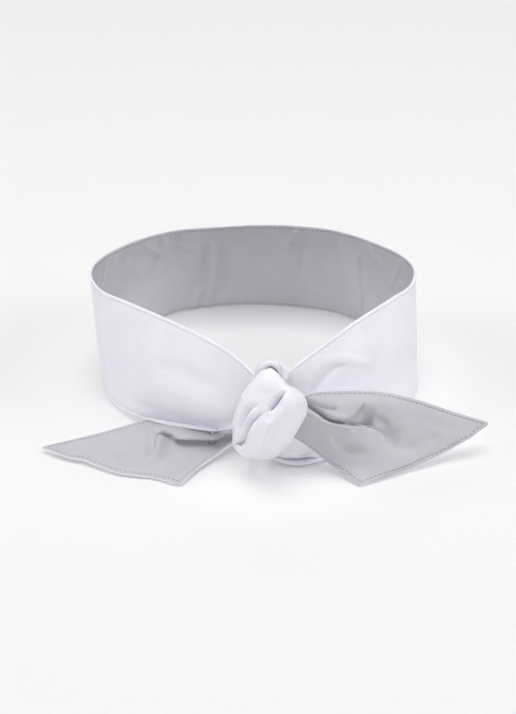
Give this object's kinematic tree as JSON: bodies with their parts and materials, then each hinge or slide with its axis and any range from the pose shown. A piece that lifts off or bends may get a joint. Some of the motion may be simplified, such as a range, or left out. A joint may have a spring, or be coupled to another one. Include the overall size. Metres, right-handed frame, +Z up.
{
  "type": "tie-on sports headband",
  "caption": "Reversible tie-on sports headband: a wide two-layer woven strip with slanted ends, knotted into a standing loop with two spread tails.",
  "frame": {"origin": "centre of the head opening, on the surface that the band's lower edge stands on", "axes": "+Z up along the head opening, -Y towards the knot and the tails, +X to the wearer-side right tail"},
  "size_m": [0.2363, 0.2058, 0.0671],
  "materials": {
    "outer_cloth": "smooth plain-weave cloth, lilac white, matt with a faint sheen",
    "lining_cloth": "smooth plain-weave cloth, cool grey, matt",
    "thread": "polyester sewing thread, one shade darker than the cloth"
  },
  "bodies": {
    "band": {"band_outer_panel": "outer_cloth", "band_lining_panel": "lining_cloth", "band_upper_seam_allowance": "lining_cloth", "band_lower_seam_allowance": "lining_cloth", "band_upper_topstitch": "thread", "band_lower_topstitch": "thread", "knot_front_wrap_outer": "outer_cloth", "knot_front_wrap_lining": "lining_cloth", "knot_front_wrap_topstitch": "thread", "knot_back_wrap_outer": "outer_cloth", "knot_back_wrap_lining": "lining_cloth", "knot_gathered_core": "outer_cloth"},
    "left_tail": {"left_tail_outer_panel": "outer_cloth", "left_tail_lining_panel": "lining_cloth", "left_tail_seam_allowance": "lining_cloth", "left_tail_topstitch": "thread"},
    "right_tail": {"right_tail_outer_panel": "outer_cloth", "right_tail_lining_panel": "lining_cloth", "right_tail_seam_allowance": "lining_cloth", "right_tail_topstitch": "thread"}
  },
  "joints": [
    {"name": "left_tail_swing", "type": "hinge", "parent": "band", "child": "left_tail", "pos_m": [-0.002, -0.076, 0.01], "axis": [0, 0, 1], "range_deg": [0, 35]},
    {"name": "right_tail_swing", "type": "hinge", "parent": "band", "child": "right_tail", "pos_m": [0.019, -0.092, 0.03], "axis": [0, 0, -1], "range_deg": [0, 50]}
  ]
}
